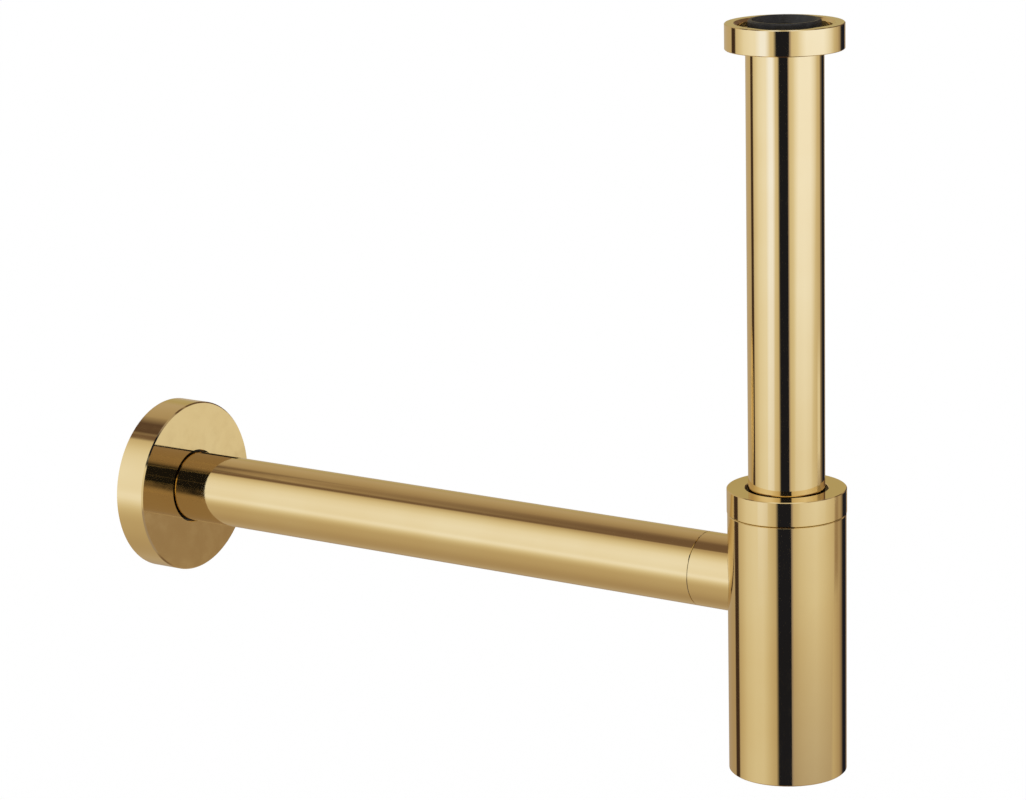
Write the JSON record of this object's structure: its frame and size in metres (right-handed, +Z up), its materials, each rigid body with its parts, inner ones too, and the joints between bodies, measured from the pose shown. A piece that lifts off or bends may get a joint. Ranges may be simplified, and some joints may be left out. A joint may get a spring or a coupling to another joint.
{
  "type": "bottle trap",
  "caption": "Polished gold washbasin bottle trap: union nut inlet with a cone gasket, height-adjustable tube in a screwed gland, round bottle, outlet pipe and sliding wall escutcheon.",
  "frame": {"origin": "on the outlet pipe's axis, in the plane of the wall, which is the escutcheon's back rim", "axes": "+Z up along the inlet tube, +X from the wall to the bottle along the outlet pipe"},
  "size_m": [0.3654, 0.0786, 0.3179],
  "materials": {
    "polished_gold": "polished gold plating",
    "raw_brass": "turned brass",
    "black_rubber": "moulded rubber",
    "nylon": "black moulded nylon"
  },
  "bodies": {
    "bottle": {"bottle_cup": "polished_gold", "neck_ring": "raw_brass", "outlet_stub": "polished_gold", "gland_gasket": "black_rubber", "outlet_pipe": "polished_gold", "outlet_nipple": "raw_brass", "outlet_seal": "black_rubber"},
    "cap_slip": {"pressure_ring": "nylon"},
    "cap": {"cap_ring": "polished_gold"},
    "inlet": {"inlet_tube": "polished_gold", "inlet_gasket": "black_rubber"},
    "nut_slip": {"inlet_slip_ring": "nylon"},
    "nut": {"inlet_nut": "polished_gold"},
    "wall_cover": {"escutcheon": "polished_gold", "escutcheon_ring": "black_rubber"}
  },
  "joints": [
    {"name": "cap_lift", "type": "slide", "parent": "bottle", "child": "cap_slip", "axis": [0, 0, 1], "range_m": [0, 0.0045]},
    {"name": "cap_turn", "type": "hinge", "parent": "cap_slip", "child": "cap", "pos_m": [0.3304, 0, 0.0356], "axis": [0, 0, 1], "range_deg": [0, 1080]},
    {"name": "tube_height", "type": "slide", "parent": "bottle", "child": "inlet", "axis": [0, 0, 1], "range_m": [-0.006, 0.048]},
    {"name": "nut_slide", "type": "slide", "parent": "inlet", "child": "nut_slip", "axis": [0, 0, 1], "range_m": [-0.17, 0]},
    {"name": "nut_turn", "type": "hinge", "parent": "nut_slip", "child": "nut", "pos_m": [0.3304, 0, 0.2293], "axis": [0, 0, 1], "continuous": true},
    {"name": "escutcheon_slide", "type": "slide", "parent": "bottle", "child": "wall_cover", "axis": [1, 0, 0], "range_m": [0, 0.25]}
  ],
  "couplings": [
    {"joint": "cap_lift", "follows": "cap_turn", "m_per_rad": 0.0002387}
  ]
}
